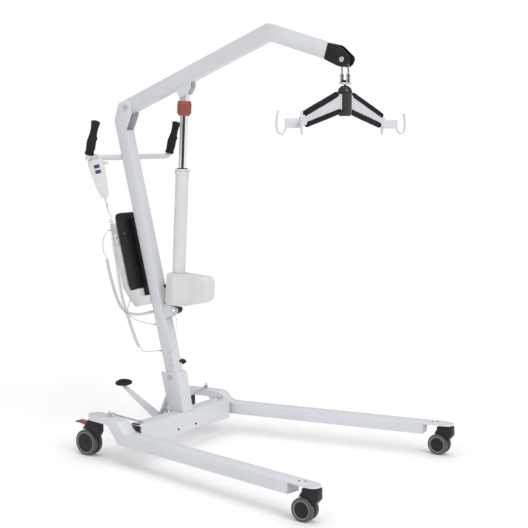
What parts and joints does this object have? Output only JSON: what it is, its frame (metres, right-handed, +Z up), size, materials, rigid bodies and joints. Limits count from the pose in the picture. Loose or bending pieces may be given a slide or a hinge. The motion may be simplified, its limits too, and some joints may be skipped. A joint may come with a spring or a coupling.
{
  "type": "patient lift hoist",
  "caption": "Mobile electric patient lift with spreading legs, a leaning mast, an actuated boom and a sling spreader bar.",
  "frame": {"origin": "on the floor, under the middle of the lift's bounding box", "axes": "+X forward along the legs, +Y to the lift's left, +Z up"},
  "size_m": [1.2583, 1.0276, 1.6323],
  "materials": {
    "white_paint": "satin powder coat",
    "zinc_steel": "zinc plated",
    "chrome": "polished",
    "white_plastic": "fine matte",
    "black_plastic": "satin",
    "black_foam": "soft matte",
    "grey_tread": "matte",
    "red_plastic": "satin",
    "blue_plastic": "satin",
    "grey_cable": "satin"
  },
  "bodies": {
    "frame": {"base_beam": "white_paint", "mast_socket": "white_paint", "mast": "white_paint", "leg_pivot_bolt_near": "zinc_steel", "leg_pivot_bolt_far": "zinc_steel", "rocker_axle": "zinc_steel", "foot_pin": "chrome", "boom_pivot_bolt": "zinc_steel", "handlebar": "white_paint", "grip_near": "black_foam", "grip_far": "black_foam", "mounting_plate": "white_paint", "control_box": "white_plastic", "handset_shell": "white_plastic", "handset_hook": "white_plastic", "handset_lead": "grey_cable", "handset_coil": "grey_cable", "handset_tail": "grey_cable", "motor_lead": "grey_cable", "motor_coil": "grey_cable", "charger_lead": "grey_cable"},
    "boom": {"boom": "white_paint", "boom_clevis": "black_plastic", "clevis_bolt": "zinc_steel"},
    "actuator": {"actuator_foot": "black_plastic", "motor_housing": "white_plastic", "actuator_tube": "white_plastic"},
    "actuator_rod": {"actuator_rod": "chrome", "rod_end": "chrome", "head_pin": "zinc_steel"},
    "release_knob": {"release_knob": "red_plastic"},
    "hanger": {"hanger_link": "chrome"},
    "spreader": {"spreader_hub": "black_plastic", "spreader_arm_near": "white_paint", "spreader_arm_far": "white_paint", "arm_pad_upper_near": "black_foam", "arm_pad_upper_far": "black_foam", "arm_pad_lower_near": "black_foam", "arm_pad_lower_far": "black_foam"},
    "leg_near": {"leg_near": "white_paint"},
    "leg_far": {"leg_far": "white_paint"},
    "tie_rod_near": {"tie_rod_near": "zinc_steel"},
    "tie_rod_far": {"tie_rod_far": "zinc_steel"},
    "pedals": {"pedal_rocker": "white_paint", "pedal_pad_near": "black_plastic", "pedal_pad_far": "black_plastic"},
    "mast_lock": {"mast_lock_screw": "zinc_steel"},
    "battery": {"battery": "black_plastic"},
    "button_up": {"button_up": "blue_plastic"},
    "button_down": {"button_down": "blue_plastic"},
    "caster_front_near": {"caster_fork_front_near": "black_plastic"},
    "wheels_front_near": {"caster_wheels_front_near": "grey_tread"},
    "caster_rear_near": {"caster_fork_rear_near": "black_plastic"},
    "wheels_rear_near": {"caster_wheels_rear_near": "grey_tread"},
    "brake_near": {"brake_pedal_near": "red_plastic"},
    "caster_front_far": {"caster_fork_front_far": "black_plastic"},
    "wheels_front_far": {"caster_wheels_front_far": "grey_tread"},
    "caster_rear_far": {"caster_fork_rear_far": "black_plastic"},
    "wheels_rear_far": {"caster_wheels_rear_far": "grey_tread"},
    "brake_far": {"brake_pedal_far": "red_plastic"}
  },
  "joints": [
    {"name": "boom_lift", "type": "hinge", "parent": "frame", "child": "boom", "pos_m": [-0.56658, 0, 1.33945], "axis": [0, -1, 0], "range_deg": [-38, 8]},
    {"name": "actuator_tilt", "type": "hinge", "parent": "frame", "child": "actuator", "pos_m": [-0.33144, 0, 0.549], "axis": [0, 1, 0], "range_deg": [-4, 4]},
    {"name": "actuator_extend", "type": "slide", "parent": "actuator", "child": "actuator_rod", "axis": [0.0511, 0, 0.9987], "range_m": [-0.19, 0.045]},
    {"name": "release_turn", "type": "hinge", "parent": "actuator_rod", "child": "release_knob", "pos_m": [-0.29137, 0, 1.33198], "axis": [0.0511, 0, 0.9987], "range_deg": [-90, 0]},
    {"name": "hanger_swing", "type": "hinge", "parent": "boom", "child": "hanger", "pos_m": [0.42224, 0, 1.49176], "axis": [0, 1, 0], "range_deg": [-60, 33]},
    {"name": "spreader_swivel", "type": "hinge", "parent": "hanger", "child": "spreader", "pos_m": [0.42224, 0, 1.40476], "axis": [0, 0, 1], "continuous": true},
    {"name": "leg_near_spread", "type": "hinge", "parent": "frame", "child": "leg_near", "pos_m": [-0.31394, -0.25, 0.106], "axis": [0, 0, 1], "range_deg": [-3, 10]},
    {"name": "tie_rod_near_turn", "type": "hinge", "parent": "leg_near", "child": "tie_rod_near", "pos_m": [-0.42394, -0.30303, 0.1765], "axis": [0, 0, 1], "range_deg": [-12, 12]},
    {"name": "caster_front_near_swivel", "type": "hinge", "parent": "leg_near", "child": "caster_front_near", "pos_m": [0.60092, -0.48559, 0.1], "axis": [0, 0, 1], "continuous": true},
    {"name": "wheels_front_near_roll", "type": "hinge", "parent": "caster_front_near", "child": "wheels_front_near", "pos_m": [0.57192, -0.48559, 0.04], "axis": [0, 1, 0], "continuous": true},
    {"name": "caster_rear_near_swivel", "type": "hinge", "parent": "leg_near", "child": "caster_rear_near", "pos_m": [-0.5096, -0.28777, 0.1], "axis": [0, 0, 1], "continuous": true},
    {"name": "wheels_rear_near_roll", "type": "hinge", "parent": "caster_rear_near", "child": "wheels_rear_near", "pos_m": [-0.5446, -0.28777, 0.05], "axis": [0, 1, 0], "continuous": true},
    {"name": "brake_near_press", "type": "hinge", "parent": "caster_rear_near", "child": "brake_near", "pos_m": [-0.5476, -0.28777, 0.119], "axis": [0, -1, 0], "range_deg": [0, 16]},
    {"name": "leg_far_spread", "type": "hinge", "parent": "frame", "child": "leg_far", "pos_m": [-0.31394, 0.25, 0.106], "axis": [0, 0, 1], "range_deg": [-10, 3]},
    {"name": "tie_rod_far_turn", "type": "hinge", "parent": "leg_far", "child": "tie_rod_far", "pos_m": [-0.42394, 0.30303, 0.1765], "axis": [0, 0, 1], "range_deg": [-12, 12]},
    {"name": "caster_front_far_swivel", "type": "hinge", "parent": "leg_far", "child": "caster_front_far", "pos_m": [0.60092, 0.48559, 0.1], "axis": [0, 0, 1], "continuous": true},
    {"name": "wheels_front_far_roll", "type": "hinge", "parent": "caster_front_far", "child": "wheels_front_far", "pos_m": [0.57192, 0.48559, 0.04], "axis": [0, 1, 0], "continuous": true},
    {"name": "caster_rear_far_swivel", "type": "hinge", "parent": "leg_far", "child": "caster_rear_far", "pos_m": [-0.5096, 0.28777, 0.1], "axis": [0, 0, 1], "continuous": true},
    {"name": "wheels_rear_far_roll", "type": "hinge", "parent": "caster_rear_far", "child": "wheels_rear_far", "pos_m": [-0.5446, 0.28777, 0.05], "axis": [0, 1, 0], "continuous": true},
    {"name": "brake_far_press", "type": "hinge", "parent": "caster_rear_far", "child": "brake_far", "pos_m": [-0.5476, 0.28777, 0.119], "axis": [0, -1, 0], "range_deg": [0, 16]},
    {"name": "pedal_rock", "type": "hinge", "parent": "frame", "child": "pedals", "pos_m": [-0.39594, 0, 0.1], "axis": [1, 0, 0], "range_deg": [-38, 12]},
    {"name": "mast_lock_turn", "type": "hinge", "parent": "frame", "child": "mast_lock", "pos_m": [-0.34788, -0.0303, 0.2822], "axis": [0, 1, 0], "continuous": true},
    {"name": "battery_lift", "type": "slide", "parent": "frame", "child": "battery", "axis": [-0.2473, 0, 0.9689], "range_m": [0, 0.1]},
    {"name": "button_up_press", "type": "slide", "parent": "frame", "child": "button_up", "axis": [-0.7192, 0.6902, 0.0799], "range_m": [0, 0.001], "stiffness_N_per_m": 300},
    {"name": "button_down_press", "type": "slide", "parent": "frame", "child": "button_down", "axis": [-0.7192, 0.6902, 0.0799], "range_m": [0, 0.001], "stiffness_N_per_m": 300}
  ],
  "couplings": [
    {"joint": "actuator_extend", "follows": "boom_lift", "m_per_rad": 0.274},
    {"joint": "actuator_tilt", "follows": "boom_lift", "ratio": 0.012},
    {"joint": "leg_far_spread", "follows": "leg_near_spread", "ratio": -1},
    {"joint": "pedal_rock", "follows": "leg_near_spread", "ratio": -3.58},
    {"joint": "tie_rod_near_turn", "follows": "leg_near_spread", "ratio": -0.826},
    {"joint": "tie_rod_far_turn", "follows": "leg_near_spread", "ratio": 0.826}
  ]
}
